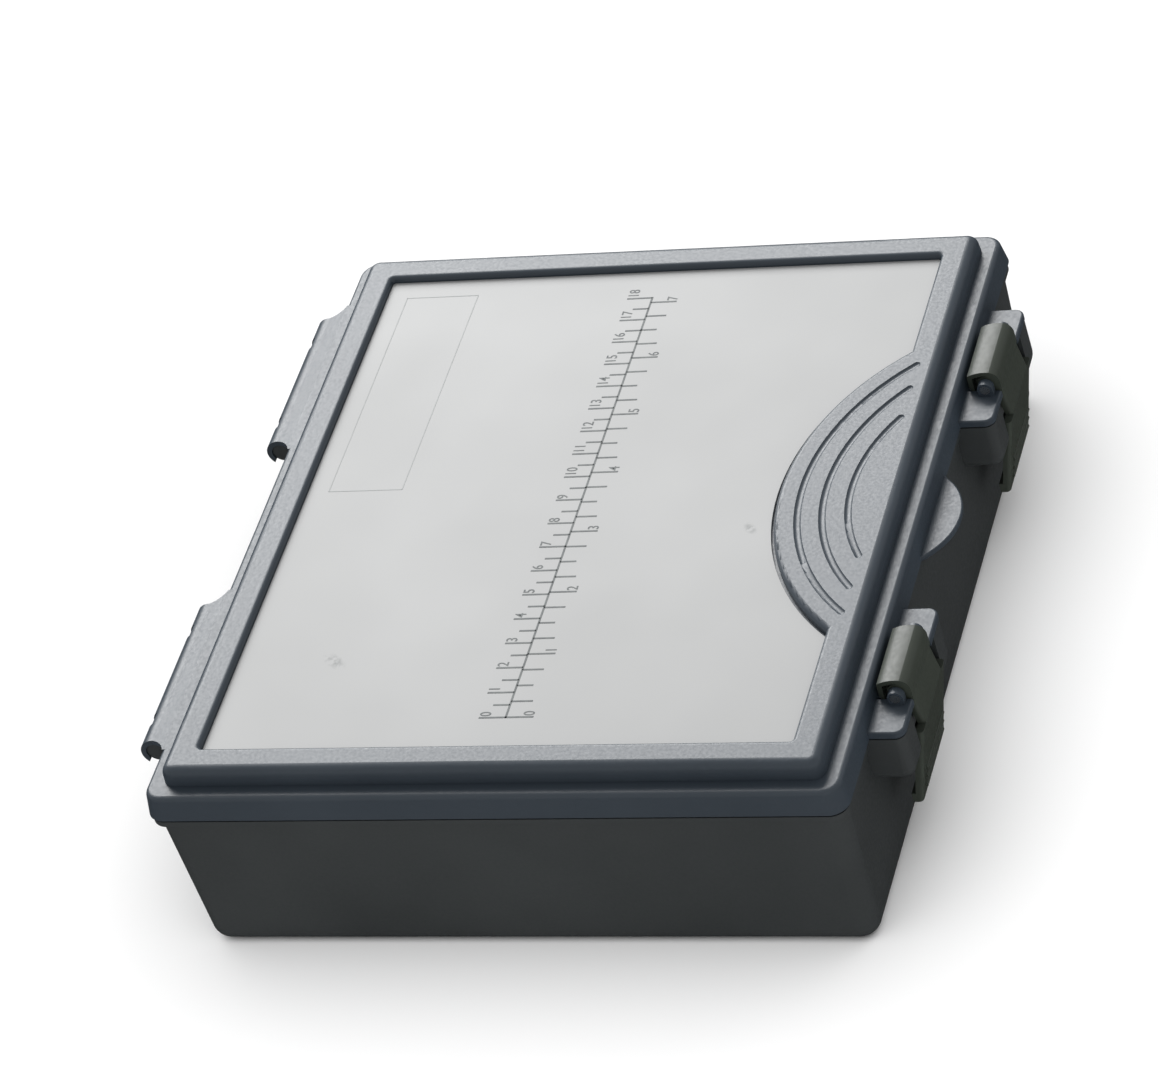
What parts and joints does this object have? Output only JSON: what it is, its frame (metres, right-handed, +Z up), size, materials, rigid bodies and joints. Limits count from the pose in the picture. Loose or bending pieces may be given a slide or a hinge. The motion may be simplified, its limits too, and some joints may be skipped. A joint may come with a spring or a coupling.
{
  "type": "latched organiser case",
  "caption": "Shallow rectangular organiser case with a hinged ruler lid, drop latches and slot-in dividers, for sorting and carrying small parts.",
  "frame": {"origin": "middle of the tub's flat underside, halfway between the end walls and between the front and back walls", "axes": "+X along the hinge line, towards the 18 end of the rule; +Y towards the hinges, so -Y is the latch side; +Z up, from the underside to the lid"},
  "size_m": [0.2364, 0.2267, 0.0665],
  "materials": {
    "tub_plastic": "fine textured dark grey",
    "lid_plastic": "satin dark blue-grey",
    "panel_plastic": "smooth light grey",
    "latch_plastic": "satin olive grey",
    "pin_steel": "plain drawn",
    "divider_plastic": "satin grey"
  },
  "bodies": {
    "base": {"tub": "tub_plastic", "long_divider_front": "divider_plastic", "long_divider_back": "divider_plastic", "cross_divider_front_1": "divider_plastic", "cross_divider_front_2": "divider_plastic", "cross_divider_front_3": "divider_plastic", "cross_divider_front_4": "divider_plastic", "cross_divider_middle_1": "divider_plastic", "cross_divider_middle_2": "divider_plastic", "cross_divider_middle_3": "divider_plastic", "cross_divider_middle_4": "divider_plastic", "cross_divider_back_1": "divider_plastic", "cross_divider_back_2": "divider_plastic", "cross_divider_back_3": "divider_plastic", "cross_divider_back_4": "divider_plastic"},
    "lid": {"lid_shell": "lid_plastic", "ruler_panel": "panel_plastic", "latch_pin_left": "pin_steel", "latch_pin_right": "pin_steel"},
    "latch_left": {"latch_left": "latch_plastic"},
    "latch_right": {"latch_right": "latch_plastic"}
  },
  "joints": [
    {"name": "lid_hinge", "type": "hinge", "parent": "base", "child": "lid", "pos_m": [0, 0.1072, 0.055], "axis": [-1, 0, 0], "range_deg": [0, 110]},
    {"name": "latch_left_pivot", "type": "hinge", "parent": "lid", "child": "latch_left", "pos_m": [-0.064, -0.1093, 0.0575], "axis": [-1, 0, 0], "range_deg": [0, 105]},
    {"name": "latch_right_pivot", "type": "hinge", "parent": "lid", "child": "latch_right", "pos_m": [0.064, -0.1093, 0.0575], "axis": [-1, 0, 0], "range_deg": [0, 105]}
  ]
}
